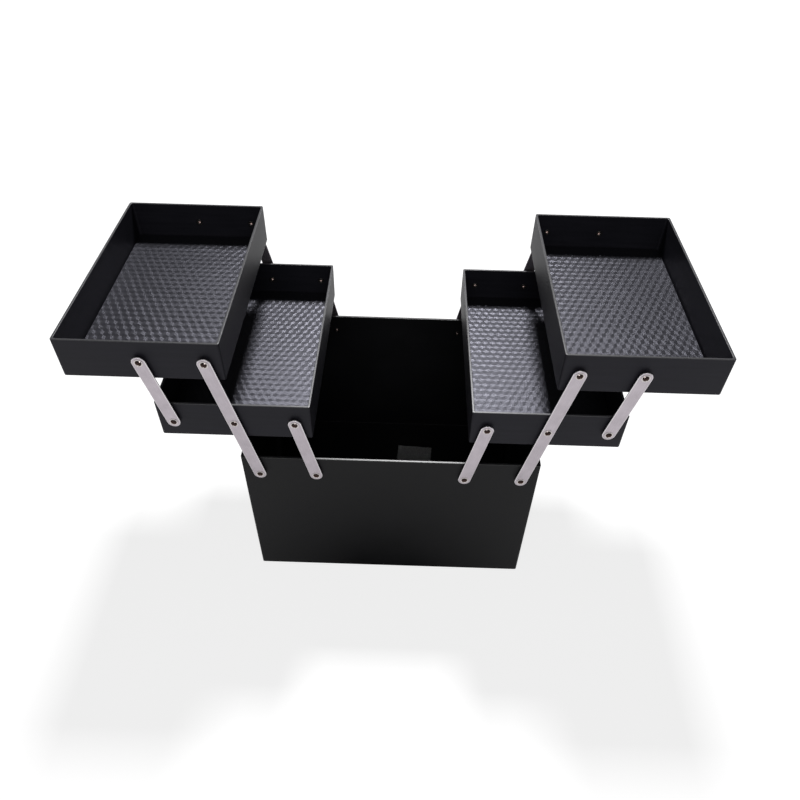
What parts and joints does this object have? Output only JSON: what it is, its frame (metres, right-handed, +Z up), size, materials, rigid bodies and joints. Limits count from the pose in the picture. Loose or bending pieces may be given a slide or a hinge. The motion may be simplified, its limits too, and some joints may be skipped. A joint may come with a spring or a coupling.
{
  "type": "makeup train case",
  "caption": "Open cantilever makeup case: deep black plastic base box carrying tiered trays on riveted steel arms that swing up and apart, each tray lined with an embossed mat.",
  "frame": {"origin": "centre of the underside of the base box, on the surface it stands on", "axes": "+X to the right along the spread of the trays, +Y from the front to the back, +Z up"},
  "size_m": [0.5854, 0.241, 0.3367],
  "materials": {
    "base_plastic": "moulded black plastic with a fine leather grain",
    "tray_plastic": "smooth moulded black plastic, half gloss",
    "mat_sheet": "black soft plastic sheet embossed with finely hatched rhombi",
    "arm_steel": "plated flat steel strip, half gloss",
    "rivet_nickel": "nickel plated steel, bright",
    "patch_pile": "dark grey textile pile"
  },
  "bodies": {
    "base": {"base_box": "base_plastic", "floor_patch": "patch_pile", "rivet_base_outer_left_front": "rivet_nickel", "rivet_base_outer_left_back": "rivet_nickel", "rivet_base_inner_left_front": "rivet_nickel", "rivet_base_inner_left_back": "rivet_nickel", "rivet_base_outer_right_front": "rivet_nickel", "rivet_base_outer_right_back": "rivet_nickel", "rivet_base_inner_right_front": "rivet_nickel", "rivet_base_inner_right_back": "rivet_nickel"},
    "long_arms_left": {"long_arm_left_front": "arm_steel", "long_arm_left_back": "arm_steel"},
    "inner_arms_left": {"inner_arm_left_front": "arm_steel", "inner_arm_left_back": "arm_steel"},
    "outer_arms_left": {"outer_arm_left_front": "arm_steel", "outer_arm_left_back": "arm_steel"},
    "lower_tray_left": {"lower_tray_left": "tray_plastic", "lower_mat_left": "mat_sheet", "rivet_lower_inner_left_front": "rivet_nickel", "rivet_lower_inner_left_back": "rivet_nickel", "rivet_lower_middle_left_front": "rivet_nickel", "rivet_lower_middle_left_back": "rivet_nickel", "rivet_lower_outer_left_front": "rivet_nickel", "rivet_lower_outer_left_back": "rivet_nickel"},
    "upper_tray_left": {"upper_tray_left": "tray_plastic", "upper_mat_left": "mat_sheet", "rivet_upper_inner_left_front": "rivet_nickel", "rivet_upper_inner_left_back": "rivet_nickel", "rivet_upper_middle_left_front": "rivet_nickel", "rivet_upper_middle_left_back": "rivet_nickel"},
    "long_arms_right": {"long_arm_right_front": "arm_steel", "long_arm_right_back": "arm_steel"},
    "inner_arms_right": {"inner_arm_right_front": "arm_steel", "inner_arm_right_back": "arm_steel"},
    "outer_arms_right": {"outer_arm_right_front": "arm_steel", "outer_arm_right_back": "arm_steel"},
    "lower_tray_right": {"lower_tray_right": "tray_plastic", "lower_mat_right": "mat_sheet", "rivet_lower_inner_right_front": "rivet_nickel", "rivet_lower_inner_right_back": "rivet_nickel", "rivet_lower_middle_right_front": "rivet_nickel", "rivet_lower_middle_right_back": "rivet_nickel", "rivet_lower_outer_right_front": "rivet_nickel", "rivet_lower_outer_right_back": "rivet_nickel"},
    "upper_tray_right": {"upper_tray_right": "tray_plastic", "upper_mat_right": "mat_sheet", "rivet_upper_inner_right_front": "rivet_nickel", "rivet_upper_inner_right_back": "rivet_nickel", "rivet_upper_middle_right_front": "rivet_nickel", "rivet_upper_middle_right_back": "rivet_nickel"}
  },
  "joints": [
    {"name": "fold_left", "type": "hinge", "parent": "base", "child": "long_arms_left", "pos_m": [-0.132, 0, 0.169], "axis": [0, 1, 0], "range_deg": [-43, 62]},
    {"name": "inner_arms_left_on_base", "type": "hinge", "parent": "base", "child": "inner_arms_left", "pos_m": [-0.075, 0, 0.169], "axis": [0, 1, 0], "range_deg": [-43, 62]},
    {"name": "lower_tray_left_level", "type": "hinge", "parent": "long_arms_left", "child": "lower_tray_left", "pos_m": [-0.14759, 0, 0.24236], "axis": [0, 1, 0], "range_deg": [-62, 43]},
    {"name": "upper_tray_left_level", "type": "hinge", "parent": "long_arms_left", "child": "upper_tray_left", "pos_m": [-0.16319, 0, 0.31572], "axis": [0, 1, 0], "range_deg": [-62, 43]},
    {"name": "outer_arms_left_on_tray", "type": "hinge", "parent": "lower_tray_left", "child": "outer_arms_left", "pos_m": [-0.20459, 0, 0.24236], "axis": [0, 1, 0], "range_deg": [-43, 62]},
    {"name": "fold_right", "type": "hinge", "parent": "base", "child": "long_arms_right", "pos_m": [0.132, 0, 0.169], "axis": [0, -1, 0], "range_deg": [-43, 62]},
    {"name": "inner_arms_right_on_base", "type": "hinge", "parent": "base", "child": "inner_arms_right", "pos_m": [0.075, 0, 0.169], "axis": [0, -1, 0], "range_deg": [-43, 62]},
    {"name": "lower_tray_right_level", "type": "hinge", "parent": "long_arms_right", "child": "lower_tray_right", "pos_m": [0.14759, 0, 0.24236], "axis": [0, -1, 0], "range_deg": [-62, 43]},
    {"name": "upper_tray_right_level", "type": "hinge", "parent": "long_arms_right", "child": "upper_tray_right", "pos_m": [0.16319, 0, 0.31572], "axis": [0, -1, 0], "range_deg": [-62, 43]},
    {"name": "outer_arms_right_on_tray", "type": "hinge", "parent": "lower_tray_right", "child": "outer_arms_right", "pos_m": [0.20459, 0, 0.24236], "axis": [0, -1, 0], "range_deg": [-43, 62]}
  ],
  "couplings": [
    {"joint": "inner_arms_left_on_base", "follows": "fold_left", "ratio": 1},
    {"joint": "lower_tray_left_level", "follows": "fold_left", "ratio": -1},
    {"joint": "upper_tray_left_level", "follows": "fold_left", "ratio": -1},
    {"joint": "outer_arms_left_on_tray", "follows": "fold_left", "ratio": 1},
    {"joint": "inner_arms_right_on_base", "follows": "fold_right", "ratio": 1},
    {"joint": "lower_tray_right_level", "follows": "fold_right", "ratio": -1},
    {"joint": "upper_tray_right_level", "follows": "fold_right", "ratio": -1},
    {"joint": "outer_arms_right_on_tray", "follows": "fold_right", "ratio": 1}
  ]
}
